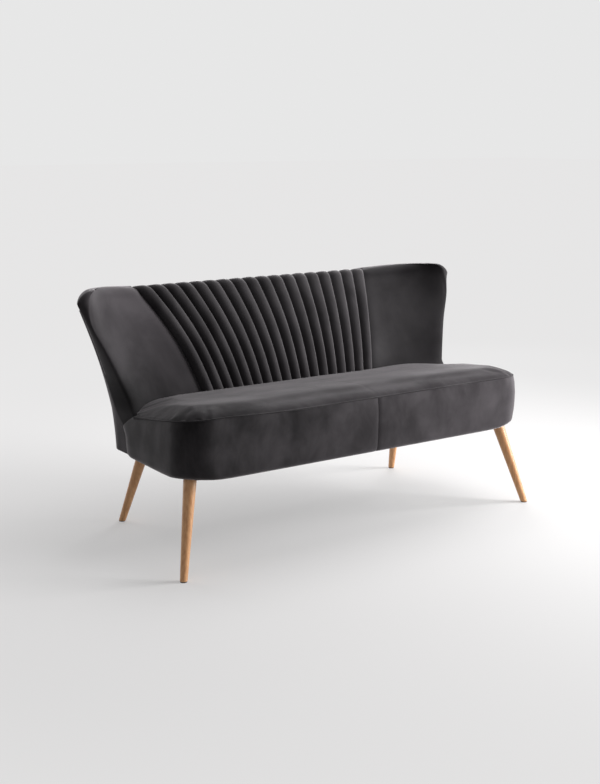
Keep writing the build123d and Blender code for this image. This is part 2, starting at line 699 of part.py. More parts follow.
def thick_line(points, width):
    """Outline of a line of square corners drawn with a square pen."""
    left = []
    right = []
    for i, (x, y) in enumerate(points):
        sides = []
        for a, b in zip(points[max(i - 1, 0) : i + 1], points[max(i - 1, 0) + 1 : i + 2]):
            run = math.hypot(b[0] - a[0], b[1] - a[1])
            sides.append(((a[1] - b[1]) / run, (b[0] - a[0]) / run))
        sx = sum(v[0] for v in sides) * width / 2
        sy = sum(v[1] for v in sides) * width / 2
        left.append((x + sx, y + sy))
        right.append((x - sx, y - sy))
    return left + right[::-1]


spring_outline = [(x, y, FRAME_TOP) for x, y in thick_line(spring_line, SPRING_WIRE)]
spring = extrude(make_face(Polyline(*spring_outline, close=True)), SPRING_WIRE, dir=(0, 0, 1)).solids()[0]
spring_span = 2 * (post_x - SPRING_HALF - 8)
spring_places = [-spring_span / 2 + spring_span * i / (SPRING_COUNT - 1) for i in range(SPRING_COUNT)]
made["seat_springs"] = Compound([Pos(x, 0, 0) * spring for x in spring_places])
half_wire = SPRING_WIRE / 2
clip_outline = [
    (half_wire, 0),
    (half_wire + 8, 0),
    (half_wire + 8, 1.5),
    (half_wire + 1.5, 1.5),
    (half_wire + 1.5, SPRING_WIRE + 1.5),
    (-half_wire - 2, SPRING_WIRE + 1.5),
    (-half_wire - 2, SPRING_WIRE),
    (half_wire, SPRING_WIRE),
]
clips = []
for x in spring_places:
    for y, turn in ((spring_front, -1), (spring_rear, 1)):
        bent = [(y + turn * dy, FRAME_TOP + dz) for dy, dz in clip_outline]
        clips.append(side_prism(bent, x - 8, x + 8).solids()[0])
made["spring_clips"] = Compound(clips)
sheet_low = FRAME_TOP + SPRING_WIRE + 1.5
made["spring_cover"] = block(
    -block_x1 + 30, block_x1 - 30, frame_front + 3, rear_rail_front - 38, sheet_low, FOAM_LOW
)

# Dust cover: thin black cloth over the whole underside, cut round the legs.
under_half = HALF_SEAT - 10 - 14
under_front = FRONT_Y + 12 + 14
under_turn = SEAT_CORNER - 14
q = under_turn * (1 - math.sqrt(0.5))
rear_x = SEAT_WIDTH * 0.41 - 20
rear_y = REAR_LOW_Y - 8
low = CLEARANCE - 1.2
right_half = [
    line((0, under_front, low), (under_half - under_turn, under_front, low)),
    arc(
        (under_half - under_turn, under_front, low),
        (under_half - q, under_front + q, low),
        (under_half, under_front + under_turn, low),
    ),
    line((under_half, under_front + under_turn, low), (under_half, SIDE_SEAM_Y - 10, low)),
    line((under_half, SIDE_SEAM_Y - 10, low), (rear_x, rear_y, low)),
    line((rear_x, rear_y, low), (0, rear_y, low)),
    line((0, rear_y, low), (0, under_front, low)),
]
half_sheet = extrude(make_face(Wire(right_half)), 1.2, dir=(0, 0, 1))
dust = half_sheet + mirror(half_sheet, about=Plane.YZ)
for hole in leg_holes:
    dust = dust - hole
    band = band - hole
    wadding = wadding - hole
made["dust_cover"] = dust
made["seat_wadding"] = largest(wadding)

# The band's two halves, a hair apart at their upright seam.
BAND_SEAM_X = 22
right_of_seam = block(BAND_SEAM_X + GAP / 2, WIDTH, -DEPTH, DEPTH, 0, BACK_HEIGHT)
left_of_seam = block(-WIDTH, BAND_SEAM_X - GAP / 2, -DEPTH, DEPTH, 0, BACK_HEIGHT)
made["seat_band_right"] = largest(band & right_of_seam)
made["seat_band_left"] = largest(band & left_of_seam)

os.makedirs("parts", exist_ok=True)
for name, shape in made.items():
    export_step(shape, "parts/" + name + ".step")
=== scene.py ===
# Two-seater cocktail sofa in charcoal velvet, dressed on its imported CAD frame.
# Metres. X runs along the sofa, Y from front to back, Z up from the floor.
import math

import bpy
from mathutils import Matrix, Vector, noise


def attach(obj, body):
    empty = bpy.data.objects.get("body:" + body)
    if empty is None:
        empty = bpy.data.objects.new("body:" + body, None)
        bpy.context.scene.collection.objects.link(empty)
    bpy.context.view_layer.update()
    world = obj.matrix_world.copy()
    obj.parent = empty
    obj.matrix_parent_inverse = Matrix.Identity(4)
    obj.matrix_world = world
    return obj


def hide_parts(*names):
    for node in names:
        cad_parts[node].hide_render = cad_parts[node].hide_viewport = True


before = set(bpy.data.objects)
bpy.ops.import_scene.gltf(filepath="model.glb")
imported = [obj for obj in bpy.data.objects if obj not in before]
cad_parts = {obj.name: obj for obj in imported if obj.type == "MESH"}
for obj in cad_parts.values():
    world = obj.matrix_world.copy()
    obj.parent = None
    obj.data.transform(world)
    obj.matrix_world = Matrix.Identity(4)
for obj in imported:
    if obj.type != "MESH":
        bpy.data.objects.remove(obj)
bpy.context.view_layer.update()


# Legs.
# Four turned and tapered legs of pale oak under a clear satin lacquer. A hanger bolt in each top
# screws into a block of the seat frame, so that the legs splay out to the corners.
def grained_finish(name, dark, light, stretch, roughness, bump):
    """A finish whose tone runs in long streaks, for sawn and turned wood, board and drawn metal."""
    finish = bpy.data.materials.new(name)
    finish.use_nodes = True
    nodes = finish.node_tree.nodes
    links = finish.node_tree.links
    shader = nodes["Principled BSDF"]
    shader.inputs["Roughness"].default_value = roughness
    place = nodes.new("ShaderNodeTexCoord")
    along = nodes.new("ShaderNodeMapping")
    along.inputs["Scale"].default_value = stretch
    streak = nodes.new("ShaderNodeTexNoise")
    streak.inputs["Scale"].default_value = 1
    streak.inputs["Detail"].default_value = 5
    streak.inputs["Roughness"].default_value = 0.62
    tone = nodes.new("ShaderNodeValToRGB")
    tone.color_ramp.elements[0].position = 0.32
    tone.color_ramp.elements[0].color = (*dark, 1)
    tone.color_ramp.elements[1].position = 0.68
    tone.color_ramp.elements[1].color = (*light, 1)
    relief = nodes.new("ShaderNodeBump")
    relief.inputs["Strength"].default_value = bump
    relief.inputs["Distance"].default_value = 0.0005
    links.new(place.outputs["Object"], along.inputs["Vector"])
    links.new(along.outputs["Vector"], streak.inputs["Vector"])
    links.new(streak.outputs["Fac"], tone.inputs["Fac"])
    links.new(tone.outputs["Color"], shader.inputs["Base Color"])
    links.new(streak.outputs["Fac"], relief.inputs["Height"])
    links.new(relief.outputs["Normal"], shader.inputs["Normal"])
    return finish


def finish_nodes(finish, *names):
    """Gives carried-over parts their finish."""
    for name in names:
        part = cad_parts[name]
        part.data.materials.clear()
        part.data.materials.append(finish)


leg_wood = grained_finish("leg_wood", (0.56, 0.25, 0.095), (0.80, 0.44, 0.205), (150, 150, 6), 0.42, 0.1)
leg_shader = leg_wood.node_tree.nodes["Principled BSDF"]
leg_shader.inputs["Coat Weight"].default_value = 0.25
leg_shader.inputs["Coat Roughness"].default_value = 0.3
leg_places = ("front_left", "front_right", "rear_left", "rear_right")
finish_nodes(leg_wood, *["leg_" + place for place in leg_places])

# Glides.
# A moulded disc of dark plastic on a pin, knocked into the foot of each leg, so that the sofa
# slides on the floor and the end grain stays off it.
glide_dark = (0.02, 0.018, 0.016)
glide_light = (0.05, 0.045, 0.04)
glide_plastic = grained_finish("glide_plastic", glide_dark, glide_light, (900, 900, 900), 0.5, 0.05)
finish_nodes(glide_plastic, *["glide_" + place for place in leg_places])

# Seat frame.
# Four corner blocks with sawn and planed rails between them, and one rail across the middle.
# Zinc-plated plates with four screws each carry the legs.
bare_dark = (0.42, 0.3, 0.17)
bare_light = (0.62, 0.48, 0.31)
rail_wood = grained_finish("rail_wood", bare_dark, bare_light, (5, 90, 90), 0.7, 0.2)
side_wood = grained_finish("side_wood", bare_dark, bare_light, (90, 5, 90), 0.7, 0.2)
finish_nodes(rail_wood, "front_rail", "rear_rail")
finish_nodes(side_wood, "side_rail_left", "side_rail_right", "middle_rail")
finish_nodes(rail_wood, *["corner_block_" + place for place in leg_places])
zinc = grained_finish("zinc", (0.5, 0.5, 0.52), (0.66, 0.67, 0.68), (300, 300, 300), 0.36, 0.04)
zinc.node_tree.nodes["Principled BSDF"].inputs["Metallic"].default_value = 1
finish_nodes(zinc, *["leg_plate_" + place for place in leg_places])
finish_nodes(zinc, "leg_plate_screws", "leg_hanger_bolts", "back_post_bolts", "spring_clips")

# Springs and their cover.
# Eight zigzag springs of bare wire run from front to rear rail, each end hooked into a clip.
# One sheet of woven cloth over them keeps the foam from sinking in between.
wire_dark = (0.26, 0.26, 0.27)
wire_light = (0.42, 0.42, 0.43)
spring_wire = grained_finish("spring_wire", wire_dark, wire_light, (250, 250, 250), 0.4, 0.03)
spring_wire.node_tree.nodes["Principled BSDF"].inputs["Metallic"].default_value = 1
finish_nodes(spring_wire, "seat_springs")
weave_dark = (0.42, 0.37, 0.28)
weave_light = (0.6, 0.55, 0.45)
woven_sheet = grained_finish("woven_sheet", weave_dark, weave_light, (700, 700, 40), 0.9, 0.5)
finish_nodes(woven_sheet, "spring_cover")

# Back frame.
# Two posts bolted to the rear rail, two wing posts on the corner blocks, a round top rail, a lower
# rail and a sloping rail out to each wing. Six elastic straps run up between the rails.
post_wood = grained_finish("post_wood", bare_dark, bare_light, (90, 90, 5), 0.7, 0.2)
finish_nodes(post_wood, "back_post_left", "back_post_right", "wing_post_left", "wing_post_right")
finish_nodes(rail_wood, "back_top_rail", "back_lower_rail", "wing_rail_left", "wing_rail_right")
board_dark = (0.27, 0.18, 0.11)
board_light = (0.4, 0.28, 0.18)
liner_board = grained_finish("liner_board", board_dark, board_light, (60, 60, 60), 0.8, 0.1)
finish_nodes(liner_board, "outside_back_liner")
strap_dark = (0.36, 0.26, 0.15)
strap_light = (0.52, 0.39, 0.24)
strap_cloth = grained_finish("strap_cloth", strap_dark, strap_light, (900, 40, 40), 0.9, 0.5)
finish_nodes(strap_cloth, "back_webbing")


# Fluted inside back.
# One quilted panel of velvet over foam, sewn into eighteen channels that fan out to the top and
# roll over the top rail. It stands for the panel and for the foam slab behind it.
def velvet_finish(name, nap_size, streak, sweep, low, high, dark, light, bloom):
    """Charcoal velvet: dark pile, a soft bloom where it is seen edge-on, and brushed patches of nap.
    Sweep is how much lighter the velvet grows towards the sofa's right-hand end, low and high how much
    lighter it is at the foot and at the top of the back. These are partly how the pile lies and partly
    painted light: lighter where the window on the right and the soft box overhead fall on the velvet."""
    finish = bpy.data.materials.new(name)
    finish.use_nodes = True
    nodes = finish.node_tree.nodes
    links = finish.node_tree.links
    shader = nodes["Principled BSDF"]
    shader.inputs["Specular IOR Level"].default_value = 0.2
    shader.inputs["Sheen Weight"].default_value = bloom
    shader.inputs["Sheen Roughness"].default_value = 0.36
    shader.inputs["Sheen Tint"].default_value = (0.62, 0.59, 0.61, 1)
    place = nodes.new("ShaderNodeTexCoord")
    brushed = nodes.new("ShaderNodeMapping")
    brushed.inputs["Scale"].default_value = streak
    patches = nodes.new("ShaderNodeTexNoise")
    patches.inputs["Scale"].default_value = nap_size
    patches.inputs["Detail"].default_value = 4
    patches.inputs["Roughness"].default_value = 0.55
    patches.inputs["Distortion"].default_value = 0.25
    split = nodes.new("ShaderNodeSeparateXYZ")
    # Painted light, partly the lie of the pile: the tone grows lighter towards the right-hand end and the
    # top.
    across = nodes.new("ShaderNodeMath")
    across.operation = "MULTIPLY_ADD"
    across.inputs[1].default_value = sweep
    upward = nodes.new("ShaderNodeMapRange")
    upward.inputs["From Min"].default_value = 0.38
    upward.inputs["From Max"].default_value = 0.74
    upward.inputs["To Min"].default_value = low
    upward.inputs["To Max"].default_value = high
    both = nodes.new("ShaderNodeMath")
    tone = nodes.new("ShaderNodeValToRGB")
    tone.color_ramp.elements[0].position = 0.05
    tone.color_ramp.elements[0].color = (dark, dark * 0.88, dark * 0.97, 1)
    tone.color_ramp.elements[1].position = 0.95
    tone.color_ramp.elements[1].color = (light, light * 0.88, light * 0.97, 1)
    lie = nodes.new("ShaderNodeMapRange")
    lie.inputs["From Min"].default_value = 0.35
    lie.inputs["From Max"].default_value = 0.65
    lie.inputs["To Min"].default_value = 0.92
    lie.inputs["To Max"].default_value = 0.74
    pile = nodes.new("ShaderNodeTexNoise")
    pile.inputs["Scale"].default_value = 1400
    pile.inputs["Detail"].default_value = 2
    relief = nodes.new("ShaderNodeBump")
    relief.inputs["Strength"].default_value = 0.22
    relief.inputs["Distance"].default_value = 0.0006
    links.new(place.outputs["Object"], brushed.inputs["Vector"])
    links.new(brushed.outputs["Vector"], patches.inputs["Vector"])
    links.new(place.outputs["Object"], split.inputs["Vector"])
    links.new(split.outputs["X"], across.inputs[0])
    links.new(patches.outputs["Fac"], across.inputs[2])
    links.new(split.outputs["Z"], upward.inputs["Value"])
    links.new(across.outputs["Value"], both.inputs[0])
    links.new(upward.outputs["Result"], both.inputs[1])
    links.new(both.outputs["Value"], tone.inputs["Fac"])
    links.new(tone.outputs["Color"], shader.inputs["Base Color"])
    links.new(patches.outputs["Fac"], lie.inputs["Value"])
    links.new(lie.outputs["Result"], shader.inputs["Roughness"])
    links.new(place.outputs["Object"], pile.inputs["Vector"])
    links.new(pile.outputs["Fac"], relief.inputs["Height"])
    links.new(relief.outputs["Normal"], shader.inputs["Normal"])
    return finish


def padded_blank(name, columns, rows):
    """A flat blank one unit square, its face at 0 and its underside at -1, ready to be shaped."""
    bpy.ops.object.select_all(action="DESELECT")
    bpy.ops.mesh.primitive_grid_add(
        x_subdivisions=columns,
        y_subdivisions=rows,
        size=1,
        location=(0.5, 0.5, 0),
    )
    blank = bpy.context.object
    blank.name = name
    bpy.ops.object.transform_apply(location=True, rotation=True, scale=True)
    thickness = blank.modifiers.new("thickness", "SOLIDIFY")
    thickness.thickness = 1
    thickness.offset = -1
    bpy.ops.object.modifier_apply(modifier="thickness")
    return blank


def shape_blank(blank, place, finish, crease):
    """Moves each point of a blank to its place on the piece, turns its faces out and gives it cloth."""
    for vertex in blank.data.vertices:
        vertex.co = place(*vertex.co)
    bpy.ops.object.mode_set(mode="EDIT")
    bpy.ops.mesh.select_all(action="SELECT")
    bpy.ops.mesh.normals_make_consistent(inside=False)
    bpy.ops.object.mode_set(mode="OBJECT")
    bpy.ops.object.shade_smooth_by_angle(angle=math.radians(crease))
    blank.data.materials.append(finish)


flutes = 18
flute_bulge = 0.0088
flute_top_bulge = 0.0036
flute_fullness = 1.6
flute_roundness = 2.2
groove_depth = 0.003
half_low = 0.327
half_top = 0.453
half_widest = half_top + 0.011
fan_bow = 0.09
belly = 0.010
roll_radius = 0.040
roll_y = 0.3025
roll_z = 0.6845
base_y = 0.079
base_z = 0.408
top_recline = math.radians(40.4)
face_top_y = roll_y - roll_radius * math.cos(top_recline)
face_top_z = roll_z + roll_radius * math.sin(top_recline)
chord_angle = math.atan2(face_top_y - base_y, face_top_z - base_z)
low_recline = 2 * chord_angle - top_recline
chord = math.hypot(face_top_y - base_y, face_top_z - base_z)
face_radius = chord / (2 * math.sin(top_recline - chord_angle))
face_length = face_radius * (top_recline - low_recline)
roll_length = roll_radius * (math.radians(98) - top_recline)
roll_end = roll_radius * (math.radians(172) - top_recline)


def back_face(along, depth):
    """Point of the back's face at a distance up it and a depth behind it, the panel's half width there
    and the angle of its normal."""
    if along <= face_length:
        angle = low_recline + along / face_radius
        y = face_top_y + face_radius * math.cos(top_recline) - (face_radius - depth) * math.cos(angle)
        z = face_top_z - face_radius * math.sin(top_recline) + (face_radius - depth) * math.sin(angle)
        if depth == 0 and along > 0:
            y = y - belly * math.sin(math.pi * along / face_length)
    else:
        angle = top_recline + (along - face_length) / roll_radius
        y = roll_y - (roll_radius - depth) * math.cos(angle)
        z = roll_z + (roll_radius - depth) * math.sin(angle)
    up = along / (face_length + roll_length)
    fan = up - fan_bow * math.sin(math.pi * min(max(up, 0), 1))
    half = min(half_low + (half_top - half_low) * fan, half_widest)
    return y, z, half, angle


panel_tuck = 0.09 * face_length
panel_gap = 0.0007
panel_thick = 0.0137
slab_thick = 0.0203
slab_taper = 0.048


def fluted_point(u, v, w):
    """Point of the fluted panel: u across its channels, v from its tucked foot over the roll."""
    start = -panel_tuck
    along = start + (face_length + roll_end - start) * v
    y, z, half, angle = back_face(along, 0)
    half = half - panel_gap
    x = -half + 2 * half * u
    if w < -0.5:
        to_roll = max(face_length - along, 0)
        depth = panel_thick + slab_thick * min(to_roll / slab_taper, 1)
        y, z, _, _ = back_face(along, depth)
        return x, y, z
    rolled = min(max((angle - low_recline) / (math.pi / 2 - low_recline), 0), 1)
    bulge = flute_bulge + (flute_top_bulge - flute_bulge) * rolled**2
    across = abs(2 * ((u * flutes) % 1) - 1)
    out = flute_fullness * bulge * (1 - across**flute_roundness)
    if across > 0.98:
        out = -groove_depth
    out = out + 0.0005 * noise.noise((x * 30, along * 9, 4.2)) * (1 - across**4)
    return x, y - math.cos(angle) * out, z + math.sin(angle) * out


# The back's velvet has a darker tone than the band's. This is partly the velvet's own colour and partly
# painted shade.
back_velvet = velvet_finish("back_velvet", 9, (1.4, 1, 0.7), 0, 0, 0, 0.009, 0.033, 0.85)
fluted_back = padded_blank("fluted_back", flutes * 12, 84)
shape_blank(fluted_back, fluted_point, back_velvet, 50)
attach(fluted_back, "root")
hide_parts("fluted_back_panel", "back_foam")

# Wings.
# The plain ends of the back: foam glued over the posts and rails, with velvet drawn over its rolled
# top and round its nose to the seam of the outside back. They flare out and land on the seat.
clearance = 0.266
cap_radius = 0.030
cap_z = roll_z + roll_radius - cap_radius * math.sin(math.radians(66))
wing_low_z = 0.390
nose_low = (0.588, 0.010)
nose_top = (0.663, 0.132)
seam_low_x = 0.606
seam_top_x = 0.714
side_seam_y = 0.100
outside_top = cap_z + 0.004
toe_z = 0.352
toe_slope = 0.53
seam_lap = 0.006
seam_sweep = 0.046
seam_fall = 0.050


def outer_seam(z):
    """Place of the outside back's front seam at a height, and how far back its side starts to turn."""
    up = min(max((z - wing_low_z) / (cap_z - wing_low_z), 0), 1)
    flare = max((z - clearance) / (cap_z - clearance), 0) ** 1.8
    x = seam_low_x + (seam_top_x - seam_low_x) * flare
    turn_y = side_seam_y + seam_lap + seam_sweep * (1 - (1 - up) ** 2)
    fall = min(max((0.405 - z) / 0.087, 0), 1)
    return x, turn_y - seam_lap - seam_fall * fall * fall * (3 - 2 * fall), turn_y


toe_y = outer_seam(toe_z)[1] + 0.001
half_seat = 0.624
rear_low_y = 0.182
rear_top_y = 0.3485
rear_bow = 0.033


def rear_curve(z, inset):
    """The outside back at a height: front seam, start of its turn, bend, end of the straight middle."""
    seam_x, seam_y, turn_y = outer_seam(z)
    up = (z - clearance) / (cap_z - clearance)
    end_x = 2 * half_seat * (0.41 - 0.045 * up)
    end_y = rear_low_y + (rear_top_y - rear_low_y) * up
    run = math.hypot(end_x - seam_x, end_y - turn_y)
    bend_x = (seam_x + end_x) / 2 + (end_y - turn_y) / run * (rear_bow - inset)
    bend_y = (turn_y + end_y) / 2 + (seam_x - end_x) / run * (rear_bow - inset)
    return (seam_x - inset, seam_y), (seam_x - inset, turn_y), (bend_x, bend_y), (end_x, end_y - inset)


def arc_point(a, b, c, share):
    """Point at a share of the arc from a through b to c, seen from above."""
    d = 2 * (a[0] * (b[1] - c[1]) + b[0] * (c[1] - a[1]) + c[0] * (a[1] - b[1]))
    if abs(d) < 1e-9:
        return a[0] + (c[0] - a[0]) * share, a[1] + (c[1] - a[1]) * share
    aa = a[0] ** 2 + a[1] ** 2
    bb = b[0] ** 2 + b[1] ** 2
    cc = c[0] ** 2 + c[1] ** 2
    x = (aa * (b[1] - c[1]) + bb * (c[1] - a[1]) + cc * (a[1] - b[1])) / d
    y = (aa * (c[0] - b[0]) + bb * (a[0] - c[0]) + cc * (b[0] - a[0])) / d
    start = math.atan2(a[1] - y, a[0] - x)
    to_b = (math.atan2(b[1] - y, b[0] - x) - start) % math.tau
    to_c = (math.atan2(c[1] - y, c[0] - x) - start) % math.tau
    if to_b > to_c:
        to_c = to_c - math.tau
    radius = math.hypot(a[0] - x, a[1] - y)
    return x + radius * math.cos(start + to_c * share), y + radius * math.sin(start + to_c * share)


nose_share = 0.72
nose_before = 0.1
nose_after = 0.08
toe_out = 0.016
toe_forward = 0.028
shoulder = 0.017
face_bow = 0.031
wing_gap = 0.0006
seam_dip = 0.011
dip_run = 0.1
cap_draw_x = 1.9
cap_draw_y = 0.3


def wing_front(z, cap):
    """The wing's visible line at a height: panel side, middle of its inside face, tip of its nose,
    knuckle and outer seam, drawn in by the angle up its rolled top."""
    shrink = cap_radius * (1 - math.cos(cap))
    rise = (z - face_top_z + face_radius * math.sin(top_recline)) / face_radius
    angle = math.asin(min(rise, math.sin(top_recline)))
    y, _, half, _ = back_face(face_radius * (angle - low_recline), 0)
    climb = (z - wing_low_z) / (cap_z - wing_low_z)
    up = max(climb, 0)
    toe = min(max((0.425 - z) / 0.035, 0), 1) ** 1.5
    full = min(up, 1)
    nose_x = nose_low[0] + (nose_top[0] - nose_low[0]) * climb + toe_out * toe
    nose_x = nose_x + (0.02 + 0.06 * full) * full * (1 - full)
    nose_x = nose_x + shoulder * math.exp(-(((climb - 0.8) / 0.2) ** 2))
    nose_y = nose_low[1] + (nose_top[1] - nose_low[1]) * climb - toe_forward * toe
    seam = rear_curve(z, 0)[0]
    run = math.hypot(nose_x - half, y - nose_y)
    in_x = (y - nose_y) / run
    in_y = (nose_x - half) / run
    start_y = y + shrink
    start_z = z + cap_radius * math.sin(cap)
    start = (half + wing_gap, start_y)
    if cap > 0:
        turned = math.atan2(start_z - roll_z, roll_y - start_y)
        if turned > top_recline:
            rolled_half = back_face(face_length + roll_radius * (turned - top_recline), 0)[2]
            start = (rolled_half + wing_gap, start_y)
    middle_x = (half + nose_x) / 2 + in_x * (face_bow + shrink) + 0.014
    middle_y = (y + nose_y) / 2 + in_y * (face_bow + shrink)
    tip = (nose_x - shrink * 1.1, nose_y + shrink * 0.94)
    edge = (seam[0] - shrink * cap_draw_x, seam[1] + shrink * cap_draw_y - 0.0042)
    span = math.hypot(edge[0] - tip[0], edge[1] - tip[1])
    out = (0.001 + 0.007 * up) * (1 - 0.5 * shrink / cap_radius)
    knuckle_x = (tip[0] + edge[0]) / 2 + out * (edge[1] - tip[1]) / span
    knuckle_y = (tip[1] + edge[1]) / 2 - out * (edge[0] - tip[0]) / span
    dip = seam_dip * math.cos(cap) ** 2
    return start, (middle_x, middle_y), tip, (knuckle_x, knuckle_y), edge, half, up, dip


def along_front(line, u):
    """Point at a share of that line, drawn in at the flutes' seam, with its nose rounded off."""
    start, middle, tip, knuckle, edge = line[:5]
    if u < dip_run:
        x, y = arc_point(start, middle, tip, u / nose_share)
        return x, y + line[7] * (1 - u / dip_run) ** 3
    if u < nose_share - nose_before:
        return arc_point(start, middle, tip, u / nose_share)
    if u > nose_share + nose_after:
        return arc_point(tip, knuckle, edge, (u - nose_share) / (1 - nose_share))
    a = arc_point(start, middle, tip, 1 - nose_before / nose_share)
    b = arc_point(tip, knuckle, edge, nose_after / (1 - nose_share))
    a_back = arc_point(start, middle, tip, 0.99 - nose_before / nose_share)
    b_on = arc_point(tip, knuckle, edge, 0.01 + nose_after / (1 - nose_share))
    ax = a[0] - a_back[0]
    ay = a[1] - a_back[1]
    bx = b[0] - b_on[0]
    by = b[1] - b_on[1]
    reach = ((b[0] - a[0]) * by - (b[1] - a[1]) * bx) / (ax * by - ay * bx)
    top = (a[0] + ax * reach, a[1] + ay * reach)
    s = (u - nose_share + nose_before) / (nose_before + nose_after)
    x = a[0] * (1 - s) ** 2 + top[0] * 2 * s * (1 - s) + b[0] * s * s
    y = a[1] * (1 - s) ** 2 + top[1] * 2 * s * (1 - s) + b[1] * s * s
    return x, y


def wing_foot(u):
    """Height at which this part of the wing lands on the seat."""
    z = 0.395
    for _ in range(6):
        y = along_front(wing_front(z, 0), u)[1]
        z = max(toe_z + toe_slope * (toe_y - y), 0.357)
    return z


corner_round = 0.018
corner_in = 0.4


def corner_drop(x, z):
    """How far the rounded outer corner of the wing's top falls below its straight line."""
    outward = min(max((x - 0.63) / 0.086, 0), 1)
    upward = min(max((z - 0.58) / 0.167, 0), 1)
    return corner_round * outward**2.5 * upward**2


cap_angle = math.asin((cap_z - face_top_z) / face_radius + math.sin(top_recline))
cap_along = face_radius * (cap_angle - low_recline)
cap_end = math.radians(80)
body_share = 0.76
blend_run = 0.16
wing_lean = 0.024
post_pad = 0.003
post_x = 0.65
post_z = 0.68
hidden_step = 0.0069
flat_share = 0.25


def wing_point(u, v, w):
    """Point of a wing: u from the flutes round its nose to the outer seam, v from the seat over its
    rolled top. The back of it is hidden against the posts and the outside back."""
    u = u**1.3
    cap = 0
    z = cap_z
    if v < body_share:
        low = wing_foot(u)
        z = low + (cap_z - low) * v / body_share
    else:
        cap = cap_end * (v - body_share) / (1 - body_share)
    line = wing_front(z, cap)
    half = line[5]
    lean = wing_lean * line[6] / (seam_top_x - half_top)
    level = z + cap_radius * math.sin(cap)
    if w > -0.5:
        x, y = along_front(line, u)
        leaning = level + lean * (x - half)
        if v > body_share and u < blend_run:
            near = (1 - u / blend_run) ** 2
            along = cap_along + (face_length + roll_length - cap_along) * (v - body_share) / (1 - body_share)
            panel_y, panel_z, panel_half, _ = back_face(along, 0)
            x = x + (panel_half + wing_gap - line[0][0]) * near
            y = y + (panel_y - line[0][1]) * near
            leaning = leaning + (panel_z - level) * near
        swell = post_pad * math.exp(-(((x - post_x) / 0.03) ** 2) - ((leaning - post_z) / 0.04) ** 2)
        if u < nose_share:
            x = x - 0.5 * swell
            y = y - swell
        drop = corner_drop(x, leaning)
        return x - corner_in * drop, y, leaning - drop
    shrink = cap_radius * (1 - math.cos(cap))
    inset = hidden_step
    if level + lean * ((line[4][0] - half) * u) > outside_top - 0.003:
        inset = 0
    seam, _, bend, end = rear_curve(z, inset)
    seam = (seam[0] - shrink * cap_draw_x, seam[1] + shrink * cap_draw_y)
    bend = (bend[0] - shrink * 0.62, bend[1] - shrink * 0.78)
    end = (end[0], end[1] - shrink)
    if u < flat_share:
        x = line[0][0] + (end[0] - line[0][0]) * u / flat_share
        y = end[1]
    else:
        x, y = arc_point(end, bend, seam, (u - flat_share) / (1 - flat_share))
    level = level + lean * (x - half)
    drop = corner_drop(x, level)
    return x - corner_in * drop, y, level - drop


def for_side(place, turn):
    """The same piece turned over for the left-hand side, where turn is -1."""

    def turned_point(u, v, w):
        x, y, z = place(u, v, w)
        return x * turn, y, z

    return turned_point


eased_at = 0.77
eased_over = 0.16
# The left wing's velvet has a lighter tone than the right one's, lighter still to the top and darker at
# its nose. This is partly how its pile lies and partly painted light from the window on the right,
# which its inside faces, with painted shade on the nose that turns away from it. The right wing's
# darker tone is likewise partly painted shade.
left_lit_velvet = velvet_finish("left_wing_lit_velvet", 6, (1, 1, 0.8), 2.0, 0.6, 1.5, 0.007, 0.058, 0.6)
wing_velvet = velvet_finish("wing_velvet", 6, (1, 1, 0.8), 0, 0, 0, 0.007, 0.027, 0.6)
for side, turn in (("left", -1), ("right", 1)):
    wing = padded_blank("wing_" + side, 72, 64)
    rolled = wing.vertex_groups.new(name="rolled")
    for vertex in wing.data.vertices:
        u, v, w = vertex.co
        if w > -0.5 and 0.02 < u < 0.98 and v > 0.05:
            rolled.add([vertex.index], max(0, 1 - abs(v - eased_at) / eased_over), "REPLACE")
    shape_blank(wing, for_side(wing_point, turn), left_lit_velvet if side == "left" else wing_velvet, 60)
    ease = wing.modifiers.new("ease", "SMOOTH")
    ease.factor = 0.5
    ease.iterations = 16
    ease.vertex_group = "rolled"
    bpy.ops.object.modifier_apply(modifier="ease")
    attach(wing, "root")
    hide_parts("wing_cover_" + side, "wing_foam_" + side)


# Outside back.
# One panel of velvet drawn over a thin board liner, from the seam on one wing round to the other,
# closed by hand under the wings' rolled top and turned in below. It stands for velvet and board.
tucked_top = 0.006
foot_share = 0.0626
foot_turn = 0.018
lined_thick = 0.0058
back_fullness = 0.0016


def outside_back_point(u, v, w):
    """Point of the outside back: u from the left seam to the right one, v from its turned-in foot up."""
    s = abs(2 * u - 1)
    top = outside_top - tucked_top * min(max((s - 0.5) / 0.12, 0), 1)
    turned_in = max(1 - v / foot_share, 0)
    z = clearance + 0.0004 + (top - clearance) * max((v - foot_share) / (1 - foot_share), 0)
    full = back_fullness * math.sin(math.pi * min(max(u, 0), 1)) * math.sin(math.pi * v)
    inset = foot_turn * turned_in + (lined_thick if w < -0.5 else -full)
    up = max((z - wing_low_z) / (cap_z - wing_low_z), 0)
    seam, turn, _, _ = rear_curve(z - wing_lean * up, inset)
    bend = rear_curve(z - 0.013 * up, inset)[2]
    end = rear_curve(z, inset)[3]
    side = 1 if u > 0.5 else -1
    if s > 0.98:
        x = turn[0] - 0.0014 * (s - 0.98) / 0.02
        y = seam[1] - 0.0006 - (0 if w < -0.5 else 0.0024)
    elif s > 0.94:
        share = (s - 0.94) / 0.04
        x = turn[0]
        y = turn[1] + (seam[1] - turn[1] - 0.001) * share
    elif s > 0.62:
        x, y = arc_point(end, bend, turn, (s - 0.62) / 0.32)
    else:
        x = end[0] * s / 0.62
        y = end[1]
    if w < -0.5:
        z = z + 0.0022 * min(turned_in * 3, 1)
    drop = corner_drop(x, z)
    return (x - corner_in * drop) * side, y, z - drop


outside_back = padded_blank("outside_back", 160, 48)
# The outside back's velvet has a lighter tone than the wings'. This is partly the velvet's own colour and
# partly painted light.
outside_velvet = velvet_finish("outside_velvet", 6, (1, 1, 0.8), 0, 0, 0, 0.011, 0.056, 0.8)
shape_blank(outside_back, outside_back_point, outside_velvet, 60)
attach(outside_back, "root")
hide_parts("outside_back_cover", "outside_back_liner")

